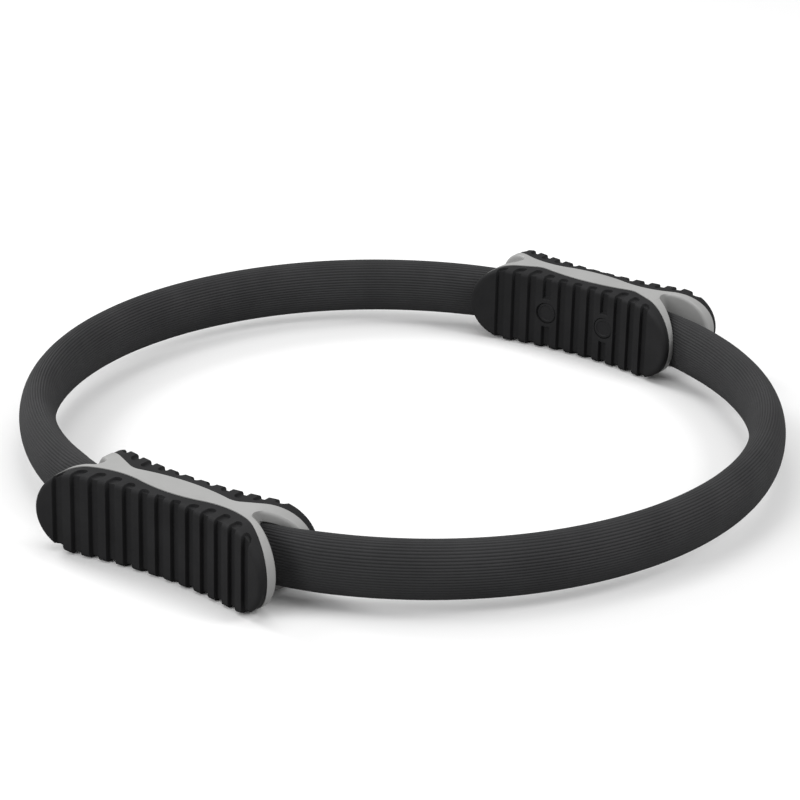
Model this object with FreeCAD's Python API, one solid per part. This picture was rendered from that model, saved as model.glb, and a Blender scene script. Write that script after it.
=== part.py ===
import FreeCAD, Part
import math
import os
from FreeCAD import Vector

# A pilates ring: a sprung hoop in a foam sleeve, with a padded handle at the front and one at the rear.
# Millimetres. +Z is up, the floor is z = 0, and the hoop's axis is x = y = 0.
# The front handle lies at -Y. The rear one is the same handle turned half a turn about the hoop's axis.
# A handle is described by its place along the handle, and by its depth: the distance from the handle's middle
# plane, which is positive on the outer side, away from the hoop's axis, and negative on the inner side.

# Hoop
hoop_radius = 181.0         # centre line of the hoop, outside the handles
foam_width = 18.0           # the sleeve's oval section, across
foam_height = 29.0          # and upright
foam_ribs = 16              # flats round the oval
band_thickness = 3.0        # flat spring strip inside the sleeve
band_height = 22.0
band_end_gap = 1.0          # between the ends of the two bands, in the middle of a handle
straight_half = 10.0        # half of the straight stretch in the middle of a handle
pinched_width = 11.0        # sleeve's width at its end, squeezed in the handle's mouth
pinch_overhang = 5.5        # the sleeve has its full width again this far past the handle's end

# Handle
handle_inset = 6.0          # the handle's middle plane lies this far inside the hoop's circle
handle_height = 41.6
outer_half_length = 66.5    # half length of the outer flange and its pad
inner_shortfall = 4.0       # the inner ones are this much shorter at each end
waist_half = 7.0            # half thickness of the clamped core, in the middle
neck_half = 3.8             # and at its necks
neck_share = 0.421          # a neck's place, as a share of the outer half length
outer_neck_share = 0.82     # the neck's hollow, as a share of the widest arc that fits between neck and tip
inner_neck_share = 0.226
outer_end_depth = 19.6      # a flange's front at its end, where the pad meets it
inner_end_depth = 20.3
mouth_share = 0.662         # where the two flanges part, as a share of the outer half length
outer_mouth_radius = 4.0    # rounding of the mouth's floor
inner_mouth_radius = 4.8
outer_back_depth = 12.8     # a flange's back at its end
inner_back_depth = 15.5

# Pads
outer_face_depth = 13.7     # middle of a pad's hollow face
inner_face_depth = 14.8
outer_tip_thickness = 4.6   # of the pad, at its ends
inner_tip_thickness = 4.8
pad_inset = 0.4             # pad's outline inside the shell's
pad_chamfer = 2.0           # edge of the face
groove_pitch = 9.1
groove_width = 4.6
groove_depth = 2.2          # into the face
groove_edge_depth = 1.3     # into the pad's top and bottom, where a groove wraps over
groove_corner = 1.6         # the wrap slopes this much between its end and the face
pad_base = 3.9              # a groove ends this far from the shell
base_share = 0.8            # and at most this share of the way up to its floor
groove_margin = 11.0        # smooth stretch at a pad's ends, at least
plug_groove = 2             # the screws sit on this groove, counted from the middle
collar_width = 2.2          # smooth ring of pad round each plug

# Screws, nuts and plugs
screw_radius = 2.0
head_radius = 3.6
head_height = 2.4
head_seat_depth = 4.6       # screw head's seat, sunk in the inner shell
boss_across_flats = 11.0    # six-sided boss on the outer shell, which holds the nut
boss_depth = 8.2
nut_across_flats = 7.0
nut_thickness = 3.2
plug_radius = 5.6

# Clearances
band_clearance = 0.3        # band to shells and to sleeve
sleeve_clearance = 0.4      # sleeve to flanges
sleeve_end_gap = 1.0        # sleeve's end to the floor of the mouth
screw_clearance = 0.4       # screw to shells and band
thread_clearance = 0.1      # screw to nut
seat_gap = 0.05             # screw head and nut to their seats
nut_clearance = 0.15
plug_clearance = 0.3        # plug to pad
recess_clearance = 0.3      # pad to the outer shell's bosses

# Worked out from the sizes above
UP = Vector(0, 0, 1)
middle_height = handle_height / 2
screw_place = plug_groove * groove_pitch
handle_offset = hoop_radius - handle_inset
inner_half_length = outer_half_length - inner_shortfall
neck_place = neck_share * outer_half_length
mouth_place = mouth_share * outer_half_length
sleeve_end_place = mouth_place + sleeve_end_gap
full_width_place = outer_half_length + pinch_overhang
# The bend that leaves the straight stretch and meets the hoop's circle without a corner
entry_radius = (hoop_radius**2 - straight_half**2 - handle_offset**2) / (2 * (hoop_radius - handle_offset))
entry_centre = Vector(straight_half, entry_radius - handle_offset, middle_height)
entry_angle = math.atan2(entry_centre.y, entry_centre.x)
overreach = 30.0            # cutters reach this far past what they cut
tolerance = 0.5             # for finding edges by their place


def at(place, depth, height=0.0):
    """A point of the front handle."""
    return Vector(place, -handle_offset - depth, height)


def line(start, end):
    return Part.LineSegment(start, end).toShape()


def prism(edges, height):
    """The solid above a closed plan outline, up to a height."""
    return Part.Face(Part.Wire(Part.__sortEdges__(edges))).extrude(UP * height)


def rod(place, radius, depth_from, depth_to):
    """A round bar across the front handle at mid height, such as a screw's shank."""
    start = at(place, depth_from, middle_height)
    return Part.makeCylinder(radius, depth_to - depth_from, start, Vector(0, -1, 0))


def half_turn(shape):
    """The rear handle's copy of a front handle's piece."""
    turned = shape.copy()
    turned.rotate(Vector(0, 0, 0), UP, 180)
    return turned


def side_outline(half_length, inset):
    """A block with the handle's side view: straight edges and half-round ends."""
    radius = middle_height - inset
    reach = half_length - inset - radius
    near = -handle_offset - 2 * overreach
    top = Vector(0, near, middle_height + radius)
    bottom = Vector(0, near, middle_height - radius)
    along = Vector(reach, 0, 0)
    tip = Vector(half_length - inset, near, middle_height)
    edges = [
        line(bottom - along, bottom + along),
        Part.Arc(bottom + along, tip, top + along).toShape(),
        line(top + along, top - along),
        Part.Arc(top - along, Vector(-tip.x, near, middle_height), bottom - along).toShape(),
    ]
    return Part.Face(Part.Wire(edges)).extrude(Vector(0, 4 * overreach, 0))


# Hoop

def oval(centre, radius, angle, width, height):
    """The sleeve's section at an angle round a centre: an oval of flats, one for each rib along the foam."""
    outward = Vector(math.cos(angle), math.sin(angle), 0)
    middle = centre + outward * radius
    corners = []
    for step in range(foam_ribs + 1):
        turn = 2 * math.pi * step / foam_ribs
        across = width / 2 * math.cos(turn)
        up = height / 2 * math.sin(turn)
        corners.append(middle + outward * across + UP * up)
    return Part.makePolygon(corners)


def entry_angle_at(place):
    """Angle round the entry bend's centre at a place along the handle."""
    return -math.acos((place - straight_half) / entry_radius)


def sleeve_section(centre, radius, angle, width, spare):
    """An oval of the sleeve, grown by a spare amount all round."""
    return oval(centre, radius, angle, width + 2 * spare, foam_height + 2 * spare)


def squeezed_end(end_place, spare):
    """The sleeve's end in the front handle's right mouth, and the bend that follows, with some spare room."""
    end_angle = entry_angle_at(end_place)
    end = sleeve_section(entry_centre, entry_radius, end_angle, pinched_width, spare)
    full_angle = entry_angle_at(full_width_place)
    full = sleeve_section(entry_centre, entry_radius, full_angle, foam_width, spare)
    pinch = Part.makeLoft([end, full], True, True)
    bend = Part.Face(full).revolve(entry_centre, UP, math.degrees(entry_angle - full_angle))
    return [pinch, bend]


def front_to_rear(shape):
    """The mirror image of a front piece, at the rear."""
    return shape.mirror(Vector(0, 0, 0), Vector(0, 1, 0))


def left_from_right(shape):
    return shape.mirror(Vector(0, 0, 0), Vector(1, 0, 0))


def band_strip(thickness, height, first_place):
    """The right half of the hoop as an upright strip: straight in the handles, then two bends that blend."""
    def offset_path(offset):
        bend = entry_radius + offset
        around = hoop_radius + offset

        def on_bend(angle):
            return entry_centre + Vector(math.cos(angle), math.sin(angle), 0) * bend

        def on_hoop(angle):
            return Vector(math.cos(angle), math.sin(angle), 0) * around + UP * middle_height

        straight_end = at(straight_half, offset, middle_height)
        front_edges = [
            line(at(first_place, offset, middle_height), straight_end),
            Part.Arc(straight_end, on_bend((entry_angle - math.pi / 2) / 2), on_bend(entry_angle)).toShape(),
        ]
        rear_edges = [front_to_rear(edge) for edge in front_edges]
        hoop_edge = Part.Arc(on_hoop(entry_angle), on_hoop(0), on_hoop(-entry_angle)).toShape()
        return front_edges + [hoop_edge] + rear_edges

    half = thickness / 2
    front_end = line(at(first_place, -half, middle_height), at(first_place, half, middle_height))
    ends = [front_end, front_to_rear(front_end)]
    strip = prism(offset_path(half) + ends + offset_path(-half), height)
    strip.translate(UP * (-height / 2))
    return strip


def band_right():
    band = band_strip(band_thickness, band_height, band_end_gap / 2)
    hole = rod(screw_place, screw_radius + screw_clearance, -overreach, overreach)
    return band.cut([hole, front_to_rear(hole)])


def sleeve_right():
    front = squeezed_end(sleeve_end_place, 0.0)
    hoop_centre = UP * middle_height
    section = Part.Face(sleeve_section(hoop_centre, hoop_radius, entry_angle, foam_width, 0.0))
    around = section.revolve(hoop_centre, UP, math.degrees(-2 * entry_angle))
    solid = around.fuse(front + [front_to_rear(piece) for piece in front])
    channel = band_strip(band_thickness + 2 * band_clearance, band_height + 2 * band_clearance, 0.0)
    return solid.cut(channel)


# Handle

def seat_line(half_length, radius_share, end_depth, side):
    """Where a pad meets its shell, from above: a swelling waist, then each way a neck and a flare."""
    swell = waist_half - neck_half
    both_radii = (neck_place**2 + swell**2) / (2 * swell)
    join_angle = math.asin(neck_place / both_radii)
    run = half_length - neck_place
    rise = end_depth - neck_half
    neck_radius = radius_share * (run**2 + rise**2) / (2 * rise)
    drop = rise - neck_radius
    flare_angle = math.atan2(drop, run) + math.asin(neck_radius / math.hypot(run, drop))

    def on_neck(angle):
        along = neck_place + neck_radius * math.sin(angle)
        return at(along, side * (neck_half + neck_radius * (1 - math.cos(angle))))

    join, leave, end = on_neck(-join_angle), on_neck(flare_angle), at(half_length, side * end_depth)
    right = [Part.Arc(join, on_neck((flare_angle - join_angle) / 2), leave).toShape(), line(leave, end)]
    left_join = Vector(-join.x, join.y, join.z)
    waist = Part.Arc(left_join, at(0, side * waist_half), join).toShape()
    return [waist] + right + [left_from_right(edge) for edge in right]


outer_seat = seat_line(outer_half_length, outer_neck_share, outer_end_depth, 1)
inner_seat = seat_line(inner_half_length, inner_neck_share, inner_end_depth, -1)


def back_line(half_length, mouth_radius, back_depth, side):
    """A flange's back on the right, from above: out of the mouth's round floor, then straight to the tip."""
    run = half_length - mouth_place - mouth_radius
    turn = math.atan2(run, back_depth) + math.asin(mouth_radius / math.hypot(run, back_depth))

    def on_floor(angle):
        return at(mouth_place + mouth_radius * (1 - math.cos(angle)), side * mouth_radius * math.sin(angle))

    leave = on_floor(turn)
    floor = Part.Arc(on_floor(0), on_floor(turn / 2), leave).toShape()
    return [floor, line(leave, at(half_length, side * back_depth))]


def shell(seat, half_length, end_depth, mouth_radius, back_depth, side):
    """One grey half of the handle: half of the clamped core, and the flange that carries a pad."""
    right = back_line(half_length, mouth_radius, back_depth, side)
    right.append(line(at(half_length, side * back_depth), at(half_length, side * end_depth)))
    middle = line(at(-mouth_place, 0), at(mouth_place, 0))
    outline = seat + right + [left_from_right(edge) for edge in right] + [middle]
    return prism(outline, handle_height).common(side_outline(half_length, 0.0))


def hoop_room():
    """The space that the bands and the sleeves' ends take in the front handle, with their clearances."""
    strip = band_strip(band_thickness + 2 * band_clearance, band_height + 2 * band_clearance, 0.0)
    right = [strip] + squeezed_end(sleeve_end_place - sleeve_clearance, sleeve_clearance)
    return right + [left_from_right(piece) for piece in right]


def hexagon(place, across_flats, depth_from, depth_to):
    """A six-sided bar across the handle, for a nut or its pocket."""
    corner = across_flats / math.sqrt(3)
    corners = []
    for step in range(7):
        angle = math.radians(60 * step)
        across = place + corner * math.cos(angle)
        corners.append(at(across, depth_from, middle_height + corner * math.sin(angle)))
    face = Part.Face(Part.makePolygon(corners))
    return face.extrude(Vector(0, depth_from - depth_to, 0))


def outer_shell():
    body = shell(outer_seat, outer_half_length, outer_end_depth, outer_mouth_radius, outer_back_depth, 1)
    bosses = [hexagon(place, boss_across_flats, 0, boss_depth) for place in (-screw_place, screw_place)]
    cuts = hoop_room()
    for place in (-screw_place, screw_place):
        cuts.append(rod(place, screw_radius + screw_clearance, -overreach, overreach))
        pocket_floor = boss_depth - nut_thickness - 2 * seat_gap
        cuts.append(hexagon(place, nut_across_flats + 2 * nut_clearance, pocket_floor, overreach))
    return body.fuse(bosses).cut(cuts).removeSplitter()


def inner_shell():
    body = shell(inner_seat, inner_half_length, inner_end_depth, inner_mouth_radius, inner_back_depth, -1)
    cuts = hoop_room()
    for place in (-screw_place, screw_place):
        cuts.append(rod(place, screw_radius + screw_clearance, -overreach, overreach))
        cuts.append(rod(place, head_radius + screw_clearance, -overreach, -head_seat_depth))
    return body.cut(cuts).removeSplitter()


def face_at(place, side):
    """Depth of a pad's hollow face at a place along the handle."""
    if side > 0:
        rise = outer_end_depth + outer_tip_thickness - outer_face_depth
        return outer_face_depth + rise * (place / outer_half_length)**2
    rise = inner_end_depth + inner_tip_thickness - inner_face_depth
    return -inner_face_depth - rise * (place / inner_half_length)**2


def groove(seat, half_length, place, side):
    """A shallow groove up the face, that wraps over the pad's top and bottom and ends short of the shell."""
    mouth = face_at(place, side)
    across = line(at(place, 0), at(place, mouth))
    on_seat = Part.Compound(seat).distToShape(across)[1][0][0]
    seat_depth = -handle_offset - on_seat.y
    floor = mouth - side * groove_depth
    base = seat_depth + side * min(pad_base, base_share * abs(floor - seat_depth))
    beyond = mouth + side * overreach
    past_straight = max(0.0, abs(place) - half_length + middle_height)
    edge = math.sqrt((middle_height - pad_inset)**2 - past_straight**2)
    reach = edge - groove_edge_depth
    profile = [
        (floor, groove_corner - reach),
        (floor, reach - groove_corner),
        (base, reach),
        (base, overreach),
        (beyond, overreach),
        (beyond, -overreach),
        (base, -overreach),
        (base, -reach),
    ]
    corners = [at(place - groove_width / 2, depth, middle_height + height) for depth, height in profile]
    return Part.Face(Part.makePolygon(corners + corners[:1])).extrude(Vector(groove_width, 0, 0))


def pad_blank(seat, half_length, end_depth, places, side):
    """A pad before its grooves: flat ribs along a hollow line, half-round ends and a chamfered edge."""
    straight_reach = half_length - middle_height
    inner_stops = [place for place in places if abs(place) < straight_reach - groove_width]
    stops = [-half_length, -straight_reach] + inner_stops + [straight_reach, half_length]
    corners = [at(place, face_at(place, side)) for place in stops]
    face = [line(start, end) for start, end in zip(corners, corners[1:])]
    right_tip = line(corners[-1], at(half_length, side * end_depth))
    outline = seat + face + [right_tip, left_from_right(right_tip)]
    body = prism(outline, handle_height).common(side_outline(half_length, pad_inset))
    rim = []
    for edge in body.Edges:
        points = edge.discretize(5)
        on_face = all(abs(-p.y - handle_offset - face_at(p.x, side)) < tolerance for p in points)
        between_ribs = edge.BoundBox.XLength < tolerance
        if on_face and not between_ribs:
            rim.append(edge)
    return body.makeChamfer(pad_chamfer, rim)


def groove_places(half_length):
    """As many grooves as fit, with one in the middle."""
    each_way = math.floor((half_length - groove_margin) / groove_pitch)
    return [groove_pitch * index for index in range(-each_way, each_way + 1)]


def outer_pad():
    places = groove_places(outer_half_length)
    body = pad_blank(outer_seat, outer_half_length, outer_end_depth, places, 1)
    cuts = [groove(outer_seat, outer_half_length, place, 1) for place in places]
    recess_across_flats = boss_across_flats + 2 * recess_clearance
    for place in (-screw_place, screw_place):
        cuts.append(hexagon(place, recess_across_flats, 0, boss_depth + recess_clearance))
    return body.cut(cuts)


def inner_pad():
    places = groove_places(inner_half_length)
    body = pad_blank(inner_seat, inner_half_length, inner_end_depth, places, -1)
    cuts = []
    for place in places:
        cutter = groove(inner_seat, inner_half_length, place, -1)
        for screw in (-screw_place, screw_place):
            collar = rod(screw, plug_radius + plug_clearance + collar_width, -2 * overreach, overreach)
            cutter = cutter.cut(collar)
        cuts.append(cutter)
    for place in (-screw_place, screw_place):
        cuts.append(rod(place, plug_radius + plug_clearance, -2 * overreach, 0))
    return body.cut(cuts)


def plug(place):
    """A push-in disc, flush with the inner pad, that rests on a screw's head."""
    return rod(place, plug_radius, face_at(place, -1), -head_seat_depth - head_height - 2 * seat_gap)


def screw(place):
    """A pan-head screw from the inner side, through the band's end, into the nut."""
    under_head = -head_seat_depth - seat_gap
    shank = rod(place, screw_radius, under_head, boss_depth)
    head = rod(place, head_radius, under_head - head_height, under_head)
    return head.fuse(shank).removeSplitter()


def nut(place):
    inner_face = boss_depth - nut_thickness - seat_gap
    body = hexagon(place, nut_across_flats, inner_face, inner_face + nut_thickness)
    return body.cut(rod(place, screw_radius + thread_clearance, -overreach, overreach))


def main():
    os.makedirs("parts", exist_ok=True)
    pieces = {
        "right_spring_band": band_right(),
        "right_foam_sleeve": sleeve_right(),
        "front_outer_shell": outer_shell(),
        "front_inner_shell": inner_shell(),
        "front_outer_pad": outer_pad(),
        "front_inner_pad": inner_pad(),
    }
    for side, place in (("left", -screw_place), ("right", screw_place)):
        pieces[f"front_{side}_screw"] = screw(place)
        pieces[f"front_{side}_nut"] = nut(place)
        pieces[f"front_{side}_plug"] = plug(place)
    for name in list(pieces):
        if name.startswith("right_"):
            pieces[name.replace("right", "left", 1)] = left_from_right(pieces[name])
        elif "_left_" in name or "_right_" in name:
            other = "right" if "_left_" in name else "left"
            pieces[f"rear_{other}_{name.split('_')[-1]}"] = half_turn(pieces[name])
        else:
            pieces[name.replace("front", "rear", 1)] = half_turn(pieces[name])
    for name, shape in pieces.items():
        state = "valid" if shape.isValid() else "NOT VALID"
        print(name, state, len(shape.Solids), "solid", round(shape.Volume), "mm3")
        shape.exportStep(f"parts/{name}.step")


main()
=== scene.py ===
# %% [markdown]
# # A pilates ring
#
# A pilates ring is one big spring: two strips of fibreglass bent into a hoop, wrapped in foam, and clamped at
# the front and the rear between the two halves of a plastic handle. Rubber pads cover the handles. The
# construction model holds every piece at its true size and place. It is loaded first and never moved, and the
# pieces made here are the forms it leaves plain: ribbed foam, moulded rubber and rounded plastic.

# %% Load the construction model
import math
import bmesh
import bpy
from mathutils import Matrix, Quaternion, Vector


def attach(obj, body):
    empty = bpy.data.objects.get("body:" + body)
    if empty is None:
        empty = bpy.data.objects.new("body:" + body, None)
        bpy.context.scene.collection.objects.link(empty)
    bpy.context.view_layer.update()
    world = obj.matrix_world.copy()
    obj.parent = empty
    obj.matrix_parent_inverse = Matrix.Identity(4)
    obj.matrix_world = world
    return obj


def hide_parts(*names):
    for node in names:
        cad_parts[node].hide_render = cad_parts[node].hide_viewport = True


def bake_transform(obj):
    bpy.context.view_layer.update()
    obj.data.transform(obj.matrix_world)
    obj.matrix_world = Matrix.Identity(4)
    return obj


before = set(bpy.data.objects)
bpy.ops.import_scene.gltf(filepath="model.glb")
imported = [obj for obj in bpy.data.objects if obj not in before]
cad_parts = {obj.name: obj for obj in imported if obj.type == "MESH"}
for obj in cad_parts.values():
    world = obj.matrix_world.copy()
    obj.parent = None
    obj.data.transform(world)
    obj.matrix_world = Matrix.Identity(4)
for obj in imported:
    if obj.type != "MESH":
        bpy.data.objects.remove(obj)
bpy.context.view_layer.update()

# %% [markdown]
# ## The sizes that the pieces share
#
# The pieces fit into each other, so they are drawn from the same few sizes as the construction model, in
# millimetres. The hoop is a circle that turns into a wider bend where it enters a handle, and the handle's
# middle plane lies a little inside the circle. Along a handle we count "place" from its middle, and "depth"
# from its middle plane: outwards for the outer half, inwards for the inner half.

# %% Hoop and handle sizes
MM = 0.001
HOOP_RADIUS = 181.0
HANDLE_OFFSET = 175.0
STRAIGHT_HALF = 10.0
FOAM_WIDTH, FOAM_HEIGHT = 18.0, 29.0
BAND_WIDTH, BAND_HEIGHT = 3.0, 22.0
HANDLE_HEIGHT = 41.6
MIDDLE_HEIGHT = HANDLE_HEIGHT / 2
OUTER_HALF_LENGTH = 66.5
MOUTH_PLACE = 44.0
SLEEVE_END, FULL_WIDTH_PLACE, PINCHED_WIDTH = 45.0, 72.0, 11.0
BAND_ROOM, FOAM_ROOM = 0.3, 0.4

ENTRY_RADIUS = (HOOP_RADIUS**2 - STRAIGHT_HALF**2 - HANDLE_OFFSET**2) / (2 * (HOOP_RADIUS - HANDLE_OFFSET))
ENTRY_CENTRE = Vector((STRAIGHT_HALF, ENTRY_RADIUS - HANDLE_OFFSET, 0.0))
ENTRY_ANGLE = math.atan2(ENTRY_CENTRE.y, ENTRY_CENTRE.x)
print("entry bend radius %.1f mm, joins the hoop at %.1f degrees" % (ENTRY_RADIUS, math.degrees(ENTRY_ANGLE)))

# %% [markdown]
# ## Materials
#
# Every finish is a small node tree on the Principled shader. One function turns a hex colour, as a colour
# picker shows it, into the linear numbers that the shader wants, and one function adds a node. Patterns read
# Object coordinates, which are metres here, so a grain of so many millimetres has a scale of one over that
# size.

# %% Colour and node helpers
def linear(hex_colour):
    """An sRGB hex colour as linear red, green, blue and alpha."""
    parts = [int(hex_colour[i:i + 2], 16) / 255 for i in (1, 3, 5)]
    return [p / 12.92 if p <= 0.04045 else ((p + 0.055) / 1.055) ** 2.4 for p in parts] + [1.0]


def add_node(tree, kind, links=(), values=(), **settings):
    """Adds a node, sets it up, and links sockets of earlier nodes into it."""
    node = tree.nodes.new(kind)
    for name, setting in settings.items():
        setattr(node, name, setting)
    for socket, value in dict(values).items():
        node.inputs[socket].default_value = value
    for socket, source in dict(links).items():
        tree.links.new(source, node.inputs[socket])
    return node


def per_mm(size):
    """Texture scale for a grain of this many millimetres."""
    return 1.0 / (size * MM)


def start_material(name):
    """An empty node tree with Object coordinates, a shader and an output."""
    material = bpy.data.materials.new(name)
    material.use_nodes = True
    tree = material.node_tree
    tree.nodes.clear()
    where = add_node(tree, "ShaderNodeTexCoord").outputs["Object"]
    shader = add_node(tree, "ShaderNodeBsdfPrincipled")
    add_node(tree, "ShaderNodeOutputMaterial", {"Surface": shader.outputs["BSDF"]})
    return material, tree, where, shader


print("mid grey in linear light: %.3f" % linear("#808080")[0])

# %% [markdown]
# Four finishes show on the ring, and they are all matt. The sleeve is closed-cell NBR foam, pressed out of a
# ribbed die: charcoal, dusty, with pores under a millimetre. The pads are moulded thermoplastic rubber,
# nearly black, and the plugs moulded polypropylene, smoother and as dark. The handle is moulded ABS in a
# plain grey with a fine satin texture. A fifth finish, fibreglass, is for the spring strips inside. Each tree
# has the same plan: a slow cloud for colour, a fine grain for roughness and relief. The true grain of the
# rubber and the plastics is too fine to show here, so it is drawn as coarse as it needs to show.

# %% One plan for the matt finishes
def matt_material(name, dark, light, cloud_mm, grain_mm, relief_mm, roughness, level):
    """A moulded or foamed finish: cloudy colour between two tones, and a fine grain in gloss and relief."""
    material, tree, where, shader = start_material(name)
    cloud = add_node(tree, "ShaderNodeTexNoise", {"Vector": where},
                     {"Scale": per_mm(cloud_mm), "Detail": 4.0, "Roughness": 0.6})
    grain = add_node(tree, "ShaderNodeTexNoise", {"Vector": where},
                     {"Scale": per_mm(grain_mm), "Detail": 2.0, "Roughness": 0.5})
    colour = add_node(tree, "ShaderNodeValToRGB", {"Fac": cloud.outputs["Fac"]})
    colour.color_ramp.elements[0].position, colour.color_ramp.elements[0].color = 0.3, linear(dark)
    colour.color_ramp.elements[1].position, colour.color_ramp.elements[1].color = 0.7, linear(light)
    gloss = add_node(tree, "ShaderNodeMapRange", {"Value": grain.outputs["Fac"]},
                     {"To Min": roughness[0], "To Max": roughness[1]})
    relief = add_node(tree, "ShaderNodeBump", {"Height": grain.outputs["Fac"]},
                      {"Strength": 0.6, "Distance": relief_mm * MM})
    tree.links.new(colour.outputs["Color"], shader.inputs["Base Color"])
    tree.links.new(gloss.outputs["Result"], shader.inputs["Roughness"])
    tree.links.new(relief.outputs["Normal"], shader.inputs["Normal"])
    shader.inputs["Specular IOR Level"].default_value = level
    return material


nbr_foam = matt_material("nbr_foam", "#2B2B2C", "#343435", cloud_mm=30, grain_mm=0.9, relief_mm=0.12,
                         roughness=(0.72, 0.92), level=0.35)
pad_rubber = matt_material("moulded_rubber", "#1D1D1E", "#242425", cloud_mm=18, grain_mm=0.7, relief_mm=0.06,
                           roughness=(0.62, 0.8), level=0.2)
shell_abs = matt_material("satin_abs", "#9C9C9B", "#A4A4A3", cloud_mm=22, grain_mm=0.8, relief_mm=0.03,
                          roughness=(0.38, 0.5), level=0.5)
plug_plastic = matt_material("moulded_polypropylene", "#18181A", "#1E1E1F", cloud_mm=8, grain_mm=0.6,
                             relief_mm=0.03, roughness=(0.5, 0.65), level=0.25)
band_fibreglass = matt_material("fibreglass_strip", "#6E5B3A", "#857047", cloud_mm=6, grain_mm=0.5,
                                relief_mm=0.04, roughness=(0.3, 0.45), level=0.5)
print("matt finishes:", [m.name for m in (nbr_foam, pad_rubber, shell_abs, plug_plastic, band_fibreglass)])

# %% [markdown]
# The clamp screws and nuts are zinc-plated steel. Plating gives a metal with a slightly cloudy gloss, so the
# cloud goes to the roughness and the colour keeps still. They are the construction model's own solids, which
# are right as they are, and only take this finish.

# %% Zinc-plated steel for the screws and nuts
zinc_steel, steel_tree, steel_where, steel_shader = start_material("zinc_plated_steel")
plating = add_node(steel_tree, "ShaderNodeTexNoise", {"Vector": steel_where},
                   {"Scale": per_mm(1.5), "Detail": 3.0})
plating_gloss = add_node(steel_tree, "ShaderNodeMapRange", {"Value": plating.outputs["Fac"]},
                         {"To Min": 0.25, "To Max": 0.45})
steel_tree.links.new(plating_gloss.outputs["Result"], steel_shader.inputs["Roughness"])
steel_shader.inputs["Base Color"].default_value = linear("#C4C7CA")
steel_shader.inputs["Metallic"].default_value = 1.0
for name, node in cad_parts.items():
    if name.endswith(("_screw", "_nut")):
        node.data.materials.clear()
        node.data.materials.append(zinc_steel)
        print("steel finish on", name)

# %% [markdown]
# ## From a bmesh to a finished piece
#
# Each piece is drawn in millimetres with z counted from the middle of the handle's height. This helper closes
# the drawing off: it merges doubled points, turns all faces outwards, marks corners sharper than 40 degrees
# so that smooth shading stops there, and lifts the mesh to its height in metres. Three small helpers go with
# it: one finds the edges at some points, one picks the points, edges or faces out of what an operator made,
# and one keeps a share between nought and one.

# %% Finishing helper
SHARP_ANGLE = math.radians(40)
MERGE_DISTANCE = 0.002   # millimetres, as the piece is drawn


def make_piece(bm, name, material, nodes):
    """Turns a drawing into an object that stands for nodes of the construction model."""
    bmesh.ops.remove_doubles(bm, verts=bm.verts[:], dist=MERGE_DISTANCE)
    bmesh.ops.recalc_face_normals(bm, faces=bm.faces[:])
    for edge in bm.edges:
        edge.smooth = not edge.is_manifold or edge.calc_face_angle() < SHARP_ANGLE
    for face in bm.faces:
        face.smooth = True
    bmesh.ops.translate(bm, verts=bm.verts[:], vec=(0, 0, MIDDLE_HEIGHT))
    bmesh.ops.scale(bm, verts=bm.verts[:], vec=(MM, MM, MM))
    mesh = bpy.data.meshes.new(name)
    bm.to_mesh(mesh)
    bm.free()
    mesh.materials.append(material)
    piece = bpy.data.objects.new(name, mesh)
    bpy.context.scene.collection.objects.link(piece)
    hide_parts(*nodes)
    print(name, len(mesh.vertices), "points")
    return piece

# %% Small helpers
def edges_of(points):
    """The edges that meet at these points."""
    return list({edge for point in points for edge in point.link_edges})


def only(kind, made):
    """The points, edges or faces among what an operator made."""
    return [part for part in made if isinstance(part, kind)]


def unit(value):
    """Keeps a share between nought and one."""
    return min(max(value, 0.0), 1.0)

# %% [markdown]
# ## The foam sleeve
#
# The foam is an extruded tube, oval in section, with about fifty fine ribs along it, and it is squeezed flat
# where it enters a handle. A texture could put the ribs on a smooth tube, but the tube's outline would stay
# smooth. Drawing one section with its ribs and spinning it round, first about the entry bend's centre and
# then about the hoop's, gives real ribs that follow the hoop, just as the die does. The two sleeves are made
# as four quarters, because when the ring is squeezed each quarter bends between a handle and a side of the
# hoop.

# %% The ribbed section
RIBS = 50
POINTS_PER_RIB = 4
RIB_DEPTH = 0.45


def draw_foam_section(bm):
    """A ribbed oval, as points and edges: x counts from the entry bend's centre, and z is the height."""
    ring = bmesh.ops.create_circle(bm, segments=RIBS * POINTS_PER_RIB, radius=1.0)["verts"]
    half_width, half_height = FOAM_WIDTH / 2, FOAM_HEIGHT / 2
    uneven = (half_height**2 - half_width**2) / (half_height**2 + half_width**2) / 4
    for point in ring:
        turn = math.atan2(point.co.y, point.co.x)
        valley = (0.5 + 0.5 * math.cos(RIBS * turn)) ** 2
        turn -= uneven * math.sin(2 * turn)   # keeps the ribs evenly spaced round the oval
        outward = Vector((math.cos(turn) / half_width, 0, math.sin(turn) / half_height)).normalized()
        on_oval = Vector((half_width * math.cos(turn), 0, half_height * math.sin(turn)))
        point.co = Vector((ENTRY_RADIUS, 0, 0)) + on_oval - outward * (RIB_DEPTH * valley)
    return ring, edges_of(ring)


foam_girth = math.pi * math.hypot(FOAM_WIDTH, FOAM_HEIGHT) / math.sqrt(2)
print("%d ribs, about %.1f mm apart" % (RIBS, foam_girth / RIBS))

# %% [markdown]
# Inside the foam runs a flat channel for the spring strip. It is drawn as a circle too, squared off with a
# high power, so that it has as many points as the ribbed oval and the sleeve's ends can be bridged.

# %% The channel inside the foam
CHANNEL_WIDTH, CHANNEL_HEIGHT = BAND_WIDTH + 2 * BAND_ROOM, BAND_HEIGHT + 2 * BAND_ROOM
SQUARENESS = 8


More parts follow.
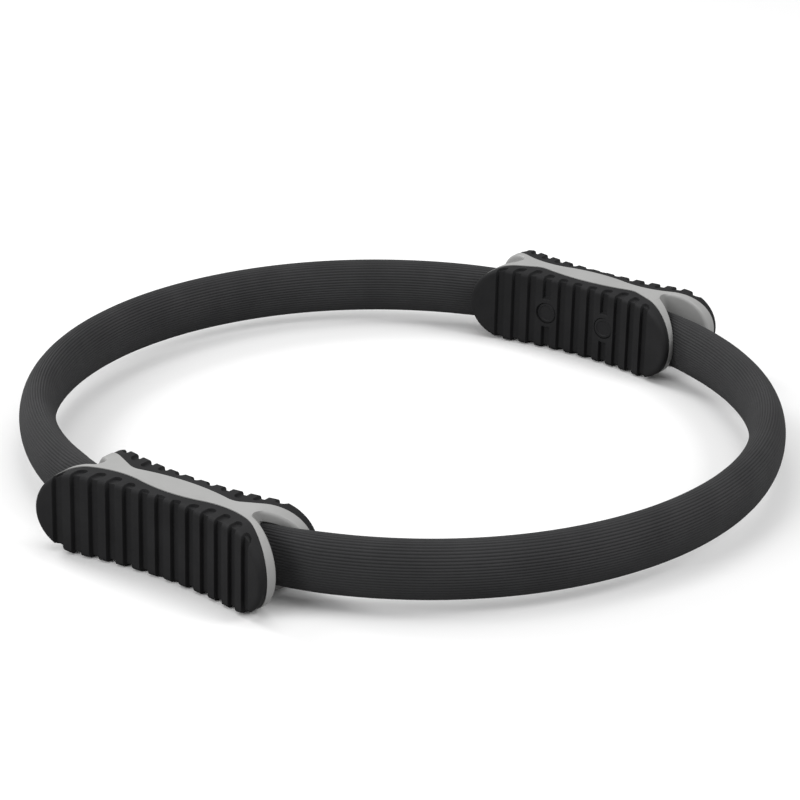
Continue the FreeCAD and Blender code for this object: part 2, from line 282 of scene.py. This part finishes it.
def draw_channel_section(bm):
    """A squared-off oval with the channel's size, placed as the ribbed section is."""
    ring = bmesh.ops.create_circle(bm, segments=RIBS * POINTS_PER_RIB, radius=1.0)["verts"]
    for point in ring:
        across, up = point.co.x, point.co.y
        squared = (across**SQUARENESS + up**SQUARENESS) ** (1 / SQUARENESS)
        point.co = Vector((ENTRY_RADIUS + CHANNEL_WIDTH / 2 * across / squared, 0,
                           CHANNEL_HEIGHT / 2 * up / squared))
    return ring, edges_of(ring)


print("channel %.1f by %.1f mm" % (CHANNEL_WIDTH, CHANNEL_HEIGHT))

# %% [markdown]
# Both sections go the same way: along the entry bend, then round the hoop as far as its side. After that the
# foam alone is pinched, since the strip inside it keeps its thickness.

# %% Sweep a section round a quarter of the hoop
MOUTH_ANGLE = -math.acos((SLEEVE_END - STRAIGHT_HALF) / ENTRY_RADIUS)
ENTRY_STEPS, HOOP_STEPS = 50, 30


def sweep_quarter(bm, points, edges, first_angle):
    """Spins a section along the entry bend, from this angle on, and then round to the hoop's side."""
    bmesh.ops.rotate(bm, verts=points, cent=(0, 0, 0), matrix=Matrix.Rotation(first_angle, 3, "Z"))
    bmesh.ops.translate(bm, verts=points, vec=ENTRY_CENTRE)
    section = points + edges
    bend = bmesh.ops.spin(bm, geom=section, cent=ENTRY_CENTRE, axis=(0, 0, 1),
                          angle=ENTRY_ANGLE - first_angle, steps=ENTRY_STEPS)["geom_last"]
    around = bmesh.ops.spin(bm, geom=bend, cent=(0, 0, 0), axis=(0, 0, 1),
                            angle=-ENTRY_ANGLE, steps=HOOP_STEPS)["geom_last"]
    return only(bmesh.types.BMEdge, around)


print("the foam begins at %.1f degrees of the entry bend" % math.degrees(MOUTH_ANGLE))

# %% Squeeze the foam's end flat in the handle's mouth
def foam_width(place):
    """Width of the foam at a place along the handle: flat in the mouth, and full beyond the tip."""
    share = unit((place - SLEEVE_END) / (FULL_WIDTH_PLACE - SLEEVE_END))
    return PINCHED_WIDTH + (FOAM_WIDTH - PINCHED_WIDTH) * share


def pinch(bm):
    """Narrows the sleeve towards the mouth, across the hoop only."""
    for point in bm.verts:
        out = Vector((point.co.x, point.co.y, 0)) - ENTRY_CENTRE
        place = STRAIGHT_HALF + ENTRY_RADIUS * math.cos(math.atan2(out.y, out.x))
        if place < FULL_WIDTH_PLACE and point.co.y < ENTRY_CENTRE.y:
            distance = ENTRY_RADIUS + (out.length - ENTRY_RADIUS) * foam_width(place) / FOAM_WIDTH
            out = out.normalized() * distance
            point.co.x, point.co.y = ENTRY_CENTRE.x + out.x, ENTRY_CENTRE.y + out.y


print("foam %.1f mm wide at its end, %.1f mm at the handle's tip"
      % (foam_width(SLEEVE_END), foam_width(OUTER_HALF_LENGTH)))

# %% [markdown]
# A quarter on the other side is the mirror image. Mirroring turns the faces inside out, and the finishing
# helper puts that right. Then each quarter's placement is baked into its mesh.

# %% Make the four quarters of foam
QUARTERS = [("front", "right", 1, 1), ("front", "left", -1, 1),
            ("rear", "right", 1, -1), ("rear", "left", -1, -1)]


def blend_quarter(piece):
    """Bakes a quarter's placement into its mesh."""
    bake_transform(piece)


for end, side, across, along in QUARTERS:
    bm = bmesh.new()
    outer_points, outer_edges = draw_foam_section(bm)
    outer_last = sweep_quarter(bm, outer_points, outer_edges, MOUTH_ANGLE)
    pinch(bm)
    inner_points, inner_edges = draw_channel_section(bm)
    inner_last = sweep_quarter(bm, inner_points, inner_edges, MOUTH_ANGLE)
    bmesh.ops.bridge_loops(bm, edges=outer_edges + inner_edges)
    bmesh.ops.bridge_loops(bm, edges=outer_last + inner_last)
    bmesh.ops.scale(bm, verts=bm.verts[:], vec=(across, along, 1))
    sleeve = make_piece(bm, f"{end}_{side}_foam", nbr_foam, [f"{side}_foam_sleeve"])
    blend_quarter(sleeve)

# %% [markdown]
# ## The spring strips
#
# The springs are flat strips of fibreglass, which nobody sees until the foam comes off. A curve with a flat
# profile would do, but the same two spins as for the foam keep a strip in the middle of its channel. So a
# strip is one rectangle, spun along both bends and then extruded back along the straight stretch in the
# handle. There its end stays half a millimetre short of the middle, so that two strips don't touch.

# %% Make the four quarters of spring strip
BAND_END = 0.5
for end, side, across, along in QUARTERS:
    bm = bmesh.new()
    corners = bmesh.ops.create_grid(bm, x_segments=1, y_segments=1, size=0.5)["verts"]
    for corner in corners:
        corner.co = Vector((ENTRY_RADIUS + BAND_WIDTH * corner.co.x, 0, BAND_HEIGHT * corner.co.y))
    sweep_quarter(bm, corners, edges_of(corners), -math.pi / 2)
    start = [face for face in bm.faces if set(face.verts) == set(corners)]
    straight = bmesh.ops.extrude_face_region(bm, geom=start)["geom"]
    bmesh.ops.delete(bm, geom=start, context="FACES_ONLY")
    bmesh.ops.translate(bm, verts=only(bmesh.types.BMVert, straight), vec=(BAND_END - STRAIGHT_HALF, 0, 0))
    bmesh.ops.holes_fill(bm, edges=[edge for edge in bm.edges if edge.is_boundary], sides=0)
    bmesh.ops.scale(bm, verts=bm.verts[:], vec=(across, along, 1))
    strip = make_piece(bm, f"{end}_{side}_spring", band_fibreglass, [f"{side}_spring_band"])
    blend_quarter(strip)

# %% [markdown]
# ## The shape of a handle
#
# Seen from the side, the shells and pads are long with half-round ends. Seen from above, each half of the
# handle is thick in the middle, thin at a neck on each side, and flares to its tips. These few formulas give
# that shape, so that a pad and its shell meet exactly.

# %% The two halves of a handle
GROOVE_PITCH = 9.1
PLUG_PLACE = 2 * GROOVE_PITCH   # on the second groove from the middle
# "grooves" counts those on each side of the middle one, and "plugs" are places along the handle
OUTER = dict(side=1, half_length=OUTER_HALF_LENGTH, neck_share=0.82, end_depth=19.6, mouth_radius=4.0,
             back_depth=12.8, face_depth=13.7, tip_thickness=4.6, grooves=6, plugs=())
INNER = dict(side=-1, half_length=62.5, neck_share=0.226, end_depth=20.3, mouth_radius=4.8,
             back_depth=15.5, face_depth=14.8, tip_thickness=4.8, grooves=5, plugs=(-PLUG_PLACE, PLUG_PLACE))
WAIST_HALF, NECK_HALF, NECK_PLACE = 7.0, 3.8, 28.0


def seat_depth(half, place):
    """Depth at which a pad meets its shell: a swelling waist, a hollow neck and a straight flare."""
    place = abs(place)
    swell = WAIST_HALF - NECK_HALF
    both_radii = (NECK_PLACE**2 + swell**2) / (2 * swell)
    run, rise = half["half_length"] - NECK_PLACE, half["end_depth"] - NECK_HALF
    neck_radius = half["neck_share"] * (run**2 + rise**2) / (2 * rise)
    waist_radius = both_radii - neck_radius
    flare = math.atan2(rise - neck_radius, run) + math.asin(neck_radius / math.hypot(run, rise - neck_radius))
    if place < NECK_PLACE * waist_radius / both_radii:
        return WAIST_HALF - waist_radius + math.sqrt(waist_radius**2 - place**2)
    if place < NECK_PLACE + neck_radius * math.sin(flare):
        return NECK_HALF + neck_radius - math.sqrt(neck_radius**2 - (place - NECK_PLACE) ** 2)
    return half["end_depth"] - (half["half_length"] - place) * math.tan(flare)


def edge_distance(half, inset, place, height):
    """How far a point lies inside the half-round outline, seen from the side."""
    radius = MIDDLE_HEIGHT - inset
    reach = half["half_length"] - inset - radius
    return radius - math.hypot(max(abs(place) - reach, 0.0), height)


def rounding(distance, radius):
    """How far a rounded edge has dropped, at a distance from the outline."""
    share = 1.0 - unit(distance / radius)
    return radius * (1.0 - math.sqrt(1.0 - share**2))


def smooth_step(low, high, value):
    """Goes from 0 to 1 between two values, with level ends."""
    share = unit((value - low) / (high - low))
    return share * share * (3 - 2 * share)


for layer, half in (("outer", OUTER), ("inner", INNER)):
    landmarks = (0.0, NECK_PLACE, half["half_length"])
    print(layer, "seat at middle, neck and tip:", [round(seat_depth(half, place), 1) for place in landmarks])

# %% [markdown]
# A pad or a shell starts as a flat grid. Its columns and rows are spaced so that they fall where the shape
# turns: close together at grooves and rims, wide where it is plain. Then each point is sent to its place on
# the piece. The outline is half-round at the tips, so the columns get shorter there, down to a single point.

# %% Drape a grid over a shape
def both_ways(stops, least=0.03):
    """Mirrors a list of stops that begins at nought, and drops those that nearly repeat."""
    kept = []
    for stop in sorted(stops):
        if not kept or stop - kept[-1] > least:
            kept.append(stop)
    return [-stop for stop in reversed(kept[1:])] + kept


def outline_height(half, inset, place):
    """Half the height of the outline at a place along the handle."""
    radius = MIDDLE_HEIGHT - inset
    over = max(abs(place) - half["half_length"] + inset + radius, 0.0)
    return math.sqrt(max(radius**2 - over**2, 0.0))


def at(half, place, depth, height):
    """A point of the front handle."""
    return Vector((place, -HANDLE_OFFSET - half["side"] * depth, height))


def drape(bm, half, places, rows, point_at):
    """Makes a grid with one column at each place, and sends each point to where the shape has it."""
    last_column, last_row = len(places) - 1, len(rows) - 1
    points = bmesh.ops.create_grid(bm, x_segments=last_column, y_segments=last_row, size=1.0)["verts"]
    for point in points:
        place = places[round((point.co.x + 1) / 2 * last_column)]
        row = rows[round((point.co.y + 1) / 2 * last_row)]
        point.co = point_at(half, place, row)
    return points

# %% [markdown]
# ## The rubber pads
#
# The pads are moulded rubber with a hollow face, upright grooves and rounded edges. The grooves are shallow
# and wrap over the top and the bottom, where they end in a half round, short of the shell. On the inner pads
# two grooves stop at a round collar, which frames the plug over a clamp screw. Cutting each groove out of a
# block would leave hard edges, so the grid is wrapped round the whole pad instead, like a skin, and the skin
# is sunk where the grooves are. Rows -1 to 1 climb the face, rows 1 to 2 go back along the top to the shell,
# and rows 2 to 3 go down the back to its middle, where the grid's two ends meet.

# %% Relief of a pad
PAD_INSET, PAD_ROUNDING = 0.4, 2.4
GROOVE_DEPTH, GROOVE_EDGE_DEPTH = 2.2, 1.3
GROOVE_FLOOR_HALF, GROOVE_MOUTH_HALF = 1.9, 2.5
PAD_BASE, BASE_STEP = 3.9, 0.3
ROW_OF_GROOVE_END, ROW_OF_BASE = 1.3, 1.6
PLUG_HOLE_RADIUS, PLUG_HOLE_DEPTH = 5.9, 3.6
PLUG_HOLE_RIM = 0.1                   # a point this near to the hole's circle stays on the face
COLLAR_EDGE, COLLAR_FOOT = 7.9, 8.8   # where the wall round a collar begins and ends


def face_depth(half, place):
    """Depth of a pad's hollow face, before the grooves are sunk."""
    rise = half["end_depth"] + half["tip_thickness"] - half["face_depth"]
    return half["face_depth"] + rise * (place / half["half_length"]) ** 2


def from_groove(half, place):
    """Distance from the middle of the nearest groove."""
    nearest = round(place / GROOVE_PITCH)
    nearest = min(max(nearest, -half["grooves"]), half["grooves"])
    return abs(place - nearest * GROOVE_PITCH)


def groove_share(half, place, height):
    """1 on the floor of a groove, 0 on a rib or a plug's collar, and between them on a groove's wall."""
    share = 1 - smooth_step(GROOVE_FLOOR_HALF, GROOVE_MOUTH_HALF, from_groove(half, place))
    for plug in half["plugs"]:
        if abs(place - plug) < GROOVE_PITCH / 2:
            share *= smooth_step(COLLAR_EDGE, COLLAR_FOOT, math.hypot(place - plug, height))
    return share


def face_point(half, place, height):
    """A point of the face, with its grooves and plug holes, and of the rounded edge round it."""
    distance = edge_distance(half, PAD_INSET, place, height)
    tilt = 1.0 - unit(distance / PAD_ROUNDING)
    share = groove_share(half, place, height)
    sunk = GROOVE_DEPTH * share * math.sqrt(1 - tilt**2)
    if any(math.hypot(place - plug, height) < PLUG_HOLE_RADIUS - PLUG_HOLE_RIM for plug in half["plugs"]):
        sunk = PLUG_HOLE_DEPTH
    drawn_in = math.copysign(GROOVE_EDGE_DEPTH * share * tilt, height)
    depth = face_depth(half, place) - rounding(distance, PAD_ROUNDING) - sunk
    return at(half, place, depth, height - drawn_in)


def pad_point(half, place, row):
    """A point of the pad's skin. See above for the rows."""
    seat, outline = seat_depth(half, place), outline_height(half, PAD_INSET, place)
    up = math.copysign(1.0, row)
    row = abs(row)
    if row <= 1:
        return face_point(half, place, up * row * outline)
    if row > 2:
        return at(half, place, seat, up * (3 - row) * outline)
    edge = face_depth(half, place) - PAD_ROUNDING
    aside = min(from_groove(half, place), GROOVE_MOUTH_HALF)
    half_round = GROOVE_MOUTH_HALF - math.sqrt(GROOVE_MOUTH_HALF**2 - aside**2)
    base = min(seat + PAD_BASE + half_round, edge)
    if row < ROW_OF_BASE:
        share = groove_share(half, place, outline)
        return at(half, place, min(base + BASE_STEP, edge), up * (outline - GROOVE_EDGE_DEPTH * share))
    return at(half, place, base if row < 2 else seat, up * outline)


print("outer face %.1f mm deep at the middle, %.1f mm at the tip"
      % (face_depth(OUTER, 0.0), face_depth(OUTER, OUTER_HALF_LENGTH)))

# %% Columns and rows of a pad
FINE_STEP, PLAIN_STEP, PLAIN_ROWS = 0.5, 1.5, 5
STEPS_BESIDE_PLUG, FINE_HEIGHT, EDGE_STEPS = 18, 9.5, 10
PAD_TIP_TURN = 5       # degrees from column to column at a round tip
TIP_TOLERANCE = 0.01   # a column this little beyond the tip counts as the tip's own


def pad_places(half):
    """Close columns at the grooves' walls, and ever closer ones towards the round tips."""
    radius = MIDDLE_HEIGHT - PAD_INSET
    tip = half["half_length"] - PAD_INSET
    floor_and_wall = [0.0, 0.9, 1.6, GROOVE_FLOOR_HALF, 2.02, 2.12, 2.2, 2.28, 2.38, GROOVE_MOUTH_HALF]
    near_groove = floor_and_wall + [2.75, 3.6]
    stops = [n * GROOVE_PITCH + way * aside for n in range(half["grooves"] + 1) for aside in near_groove
             for way in (-1, 1)]
    stops += [tip - radius + radius * math.sin(math.radians(turn)) for turn in range(0, 91, PAD_TIP_TURN)]
    stops += [plug + aside * FINE_STEP for plug in half["plugs"]
              for aside in range(-STEPS_BESIDE_PLUG, STEPS_BESIDE_PLUG + 1)]
    return both_ways([min(stop, tip) for stop in stops if 0 <= stop < tip + TIP_TOLERANCE])


def pad_rows(half):
    """Rows up the face, fine at the plugs and finest at the edge, then those of the top and the back."""
    step_up = FINE_STEP if half["plugs"] else PLAIN_STEP
    radius = MIDDLE_HEIGHT - PAD_INSET
    heights = [step * step_up for step in range(int(FINE_HEIGHT / step_up) + 1)]
    heights += [FINE_HEIGHT + step * PLAIN_STEP for step in range(1, PLAIN_ROWS + 1)]
    heights += [radius - PAD_ROUNDING * (step / EDGE_STEPS) ** 2 for step in range(EDGE_STEPS + 1)]
    rows = [height / radius for height in heights] + [ROW_OF_GROOVE_END, ROW_OF_BASE, 2.0, 3.0]
    return both_ways(rows, least=0.001)


for layer, half in (("outer", OUTER), ("inner", INNER)):
    print(layer, "pad's grid:", len(pad_places(half)), "columns,", len(pad_rows(half)), "rows")

# %% Make the pads
RIM_REACH = 0.25   # points of the grid this near to a hole's circle are moved onto it


def round_the_plug_holes(half, points):
    """Moves the points nearest to a plug's hole onto its circle, so that its rim is round."""
    for point in points:
        place, height = point.co.x, point.co.z
        for plug in half["plugs"]:
            from_plug = math.hypot(place - plug, height)
            depth = -half["side"] * (point.co.y + HANDLE_OFFSET)
            in_front = depth > PLUG_HOLE_DEPTH + seat_depth(half, place)
            if in_front and abs(from_plug - PLUG_HOLE_RADIUS) < RIM_REACH:
                grow = PLUG_HOLE_RADIUS / from_plug
                point.co = face_point(half, plug + (place - plug) * grow, height * grow)


def to_rear(bm):
    """Turns a front handle's piece half a turn about the hoop's axis."""
    bmesh.ops.rotate(bm, verts=bm.verts[:], cent=(0, 0, 0), matrix=Matrix.Rotation(math.pi, 3, "Z"))


for end in ("front", "rear"):
    for layer, half in (("outer", OUTER), ("inner", INNER)):
        bm = bmesh.new()
        points = drape(bm, half, pad_places(half), pad_rows(half), pad_point)
        round_the_plug_holes(half, points)
        if end == "rear":
            to_rear(bm)
        pad = make_piece(bm, f"{end}_{layer}_grip", pad_rubber, [f"{end}_{layer}_pad"])
        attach(pad, f"{end}_handle")

# %% [markdown]
# ## The grey shells
#
# Each handle is two moulded shells, screwed together round the ends of the springs. Their flanges part at a
# round-bottomed mouth, where the foam goes in, and their rims are rounded. Boolean cuts in a block would give
# this form too, but with slivers along the rounded rims. So the back of a shell is a second relief on the
# same kind of grid: the parting plane in the middle, the mouth's floor, and room for the hoop. The back is
# then extruded to the pad's seat.

# %% Relief of a shell's back
RIM_ROUNDING, RIM_FADE = 1.5, 2.0


def mouth_depth(half, place):
    """Depth of a flange's back: out of the mouth's round floor, then straight to the tip."""
    radius = half["mouth_radius"]
    run = half["half_length"] - MOUTH_PLACE - radius
    turn = math.atan2(run, half["back_depth"]) + math.asin(radius / math.hypot(run, half["back_depth"]))
    from_floor = place - MOUTH_PLACE
    if from_floor <= 0:
        return 0.0
    if from_floor < radius * (1 - math.cos(turn)):
        return math.sqrt(radius**2 - (radius - from_floor) ** 2)
    leave_place = MOUTH_PLACE + radius * (1 - math.cos(turn))
    leave_depth = radius * math.sin(turn)
    share = (place - leave_place) / (half["half_length"] - leave_place)
    return leave_depth + (half["back_depth"] - leave_depth) * share


def hoop_room(half, place, height):
    """Depth that the spring strip, or the foam round it, takes out of a shell."""
    beyond = max(place - STRAIGHT_HALF, 0.0)
    lean = beyond / ENTRY_RADIUS
    centre = -half["side"] * ENTRY_RADIUS * (1 - math.sqrt(1 - lean**2))
    if place > SLEEVE_END - FOAM_ROOM:
        half_width = foam_width(place) / 2 + FOAM_ROOM
        level = min(abs(height) / (FOAM_HEIGHT / 2 + FOAM_ROOM), 1.0)
        return centre + half_width * math.sqrt(1 - level**2) / math.sqrt(1 - lean**2) if level < 1.0 else 0.0
    return centre + BAND_WIDTH / 2 + BAND_ROOM if abs(height) < BAND_HEIGHT / 2 + BAND_ROOM else 0.0


def back_depth(half, place, height):
    """Depth of a shell's back, with its rounded rim."""
    place = abs(place)
    rim = rounding(edge_distance(half, 0.0, place, height), RIM_ROUNDING)
    rim *= smooth_step(MOUTH_PLACE, MOUTH_PLACE + RIM_FADE, place)
    return max(mouth_depth(half, place) + rim, hoop_room(half, place, height), 0.0)


def back_point(half, place, row):
    """A point of a shell's back. Its row is a share of the outline's height."""
    height = row * outline_height(half, 0.0, place)
    return at(half, place, back_depth(half, place, height), height)


def thicken(bm, half):
    """Extrudes a shell's back to the seat of its pad, which closes the shell."""
    made = bmesh.ops.extrude_face_region(bm, geom=bm.faces[:])["geom"]
    for point in only(bmesh.types.BMVert, made):
        point.co = at(half, point.co.x, seat_depth(half, point.co.x), point.co.z)


for layer, half in (("outer", OUTER), ("inner", INNER)):
    print(layer, "flange's back at the tip: %.1f mm deep" % mouth_depth(half, half["half_length"]))

# %% Columns and rows of a shell, and the shells themselves
WEB_STEPS, MOUTH_STEPS, MOUTH_REACH = 40, 24, 8.0
ROW_STEP, ROW_COUNT = 0.75, 26
SHELL_TIP_TURN = 3   # degrees from column to column at a round tip


def shell_places(half):
    """Close columns at the mouth's floor, and ever closer ones towards the round tips."""
    tip = half["half_length"]
    stops = [step * MOUTH_PLACE / WEB_STEPS for step in range(WEB_STEPS + 1)]
    stops += [MOUTH_PLACE + MOUTH_REACH * (step / MOUTH_STEPS) ** 2 for step in range(MOUTH_STEPS + 1)]
    stops += [tip - MIDDLE_HEIGHT + MIDDLE_HEIGHT * math.sin(math.radians(turn))
              for turn in range(0, 91, SHELL_TIP_TURN)]
    return both_ways([min(stop, tip) for stop in stops if 0 <= stop < tip + TIP_TOLERANCE])


def shell_heights():
    """Rows as shares of the half height: at the hoop's room, and finest at the rounded rim."""
    stops = [step * ROW_STEP for step in range(ROW_COUNT)]
    stops += [MIDDLE_HEIGHT - RIM_ROUNDING * (step / EDGE_STEPS) ** 2 for step in range(EDGE_STEPS + 1)]
    return [stop / MIDDLE_HEIGHT for stop in both_ways(stops)]


for end in ("front", "rear"):
    for layer, half in (("outer", OUTER), ("inner", INNER)):
        bm = bmesh.new()
        drape(bm, half, shell_places(half), shell_heights(), back_point)
        thicken(bm, half)
        if end == "rear":
            to_rear(bm)
        shell = make_piece(bm, f"{end}_{layer}_frame", shell_abs, [f"{end}_{layer}_shell"])
        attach(shell, f"{end}_handle")

# %% [markdown]
# ## The plugs
#
# Two push-in discs hide the screw heads on each inner pad. A plain cylinder would do from afar, but the sunk
# face and the soft rim make a plug stand out from the pad, which is as dark. A disc begins as a circle, is
# extruded to its length, and its face is inset and sunk a little. A bevel takes the sharpness off the rim.

# %% Make the plugs
PLUG_RADIUS, PLUG_LENGTH, PLUG_RECESS = 5.6, 3.0, 0.3
PLUG_RIM, PLUG_SLOPE, PLUG_SINK, PLUG_BEVEL = 1.3, 0.4, 0.35, 0.5
OTHER_SIDE = {"left": "right", "right": "left"}

for end in ("front", "rear"):
    for side, place in (("left", -PLUG_PLACE), ("right", PLUG_PLACE)):
        bm = bmesh.new()
        bmesh.ops.create_circle(bm, cap_ends=True, segments=64, radius=PLUG_RADIUS)
        made = bmesh.ops.extrude_face_region(bm, geom=bm.faces[:])["geom"]
        bmesh.ops.translate(bm, verts=only(bmesh.types.BMVert, made), vec=(0, 0, PLUG_LENGTH))
        front = only(bmesh.types.BMFace, made)
        rim = list(front[0].edges)
        bmesh.ops.inset_region(bm, faces=front, thickness=PLUG_RIM, depth=0.0)
        bmesh.ops.inset_region(bm, faces=front, thickness=PLUG_SLOPE, depth=-PLUG_SINK)
        bmesh.ops.bevel(bm, geom=rim, offset=PLUG_BEVEL, offset_type="OFFSET", affect="EDGES",
                        segments=3, profile=0.5, material=-1)
        bmesh.ops.rotate(bm, verts=bm.verts[:], cent=(0, 0, 0), matrix=Matrix.Rotation(-math.pi / 2, 3, "X"))
        top = -HANDLE_OFFSET + face_depth(INNER, place) - PLUG_RECESS
        bmesh.ops.translate(bm, verts=bm.verts[:], vec=(place, top - PLUG_LENGTH, 0))
        if end == "rear":
            to_rear(bm)
        name = side if end == "front" else OTHER_SIDE[side]   # half a turn swaps left and right
        plug = make_piece(bm, f"{end}_{name}_cap", plug_plastic, [f"{end}_{name}_plug"])
        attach(plug, f"{end}_handle")

# %% [markdown]
# ## The studio
#
# A sheet of backdrop paper and large soft lights, as for a catalogue picture. The paper is lit until it is
# nearly white, and only the soft shadow under the ring shows it. Paper that bright would throw so much light
# back up that the foam's lower side turns pale. So a Light Path node tells the rays apart: the camera sees
# white paper, and all other rays meet a greyer one.

# %% Floor
FLOOR_HALF = 6.0
bm = bmesh.new()
bmesh.ops.create_grid(bm, x_segments=1, y_segments=1, size=FLOOR_HALF)
floor_mesh = bpy.data.meshes.new("studio_floor")
bm.to_mesh(floor_mesh)
bm.free()
floor = bpy.data.objects.new("studio_floor", floor_mesh)
bpy.context.scene.collection.objects.link(floor)
paper, paper_tree, _, paper_shader = start_material("backdrop_paper")
seen_by_camera = add_node(paper_tree, "ShaderNodeLightPath").outputs["Is Camera Ray"]
paper_colour = add_node(paper_tree, "ShaderNodeMix", {"Factor": seen_by_camera}, data_type="RGBA")
paper_colour.inputs["A"].default_value = linear("#B0B0B0")
paper_colour.inputs["B"].default_value = linear("#F6F6F6")
paper_tree.links.new(paper_colour.outputs["Result"], paper_shader.inputs["Base Color"])
paper_shader.inputs["Roughness"].default_value = 0.9
paper_shader.inputs["Specular IOR Level"].default_value = 0.1
floor_mesh.materials.append(paper)
print("paper floor, %.0f metres across" % (2 * FLOOR_HALF))

# %% [markdown]
# Four square area lights face the ring. The left and the right one light the two sides of the hoop, the front
# one fills what faces the camera, and the largest hangs overhead and keeps the shadow soft. A white surround
# at low strength lifts the rest.

# %% Lights
def soft_light(name, place, size, watts):
    """A square area light that faces the middle of the ring."""
    lamp = bpy.data.lights.new(name, "AREA")
    lamp.size, lamp.energy = size, watts
    light = bpy.data.objects.new(name, lamp)
    bpy.context.scene.collection.objects.link(light)
    light.location = place
    light.rotation_mode = "QUATERNION"
    light.rotation_quaternion = (-Vector(place)).to_track_quat("-Z", "Y")
    print(name, "light,", watts, "watts")


soft_light("left", (-1.8, 0.1, 1.3), size=0.9, watts=19)
soft_light("right", (1.5, 0.5, 1.4), size=0.9, watts=16)
soft_light("front", (-0.5, -1.9, 1.1), size=1.2, watts=20)
soft_light("overhead", (0.0, -0.1, 2.0), size=1.8, watts=15)
world = bpy.data.worlds.new("studio")
bpy.context.scene.world = world
world.use_nodes = True
world.node_tree.nodes["Background"].inputs["Color"].default_value = linear("#FFFFFF")
world.node_tree.nodes["Background"].inputs["Strength"].default_value = 0.4
bpy.context.scene.view_settings.view_transform = "Standard"

# %% [markdown]
# ## The camera
#
# The picture was taken from a little above, with a long lens from about a metre and a half, turned 35 degrees
# from the front of the near handle. The camera leans by just over one degree. These values were fitted to
# the outline of the hoop in the picture.

# %% Camera
AZIMUTH, ELEVATION, LEAN = math.radians(35.0), math.radians(22.88), math.radians(1.38)
DISTANCE = 1.456
FOCAL_LENGTH, SENSOR_WIDTH = 131.4, 36.0
PICTURE_WIDTH, SHIFT_ACROSS, SHIFT_UP = 800, -2.5, 10.8   # pixels
back = Vector((math.sin(AZIMUTH) * math.cos(ELEVATION),
               -math.cos(AZIMUTH) * math.cos(ELEVATION),
               math.sin(ELEVATION)))
lens = bpy.data.cameras.new("picture_camera")
lens.lens, lens.sensor_width = FOCAL_LENGTH, SENSOR_WIDTH
lens.shift_x, lens.shift_y = SHIFT_ACROSS / PICTURE_WIDTH, SHIFT_UP / PICTURE_WIDTH
camera = bpy.data.objects.new("picture_camera", lens)
bpy.context.scene.collection.objects.link(camera)
camera.location = Vector((0, 0, MIDDLE_HEIGHT * MM)) + back * DISTANCE
camera.rotation_mode = "QUATERNION"
camera.rotation_quaternion = (-back).to_track_quat("-Z", "Y") @ Quaternion((0, 0, 1), LEAN)
bpy.context.scene.camera = camera
print("camera at", [round(value, 3) for value in camera.location])
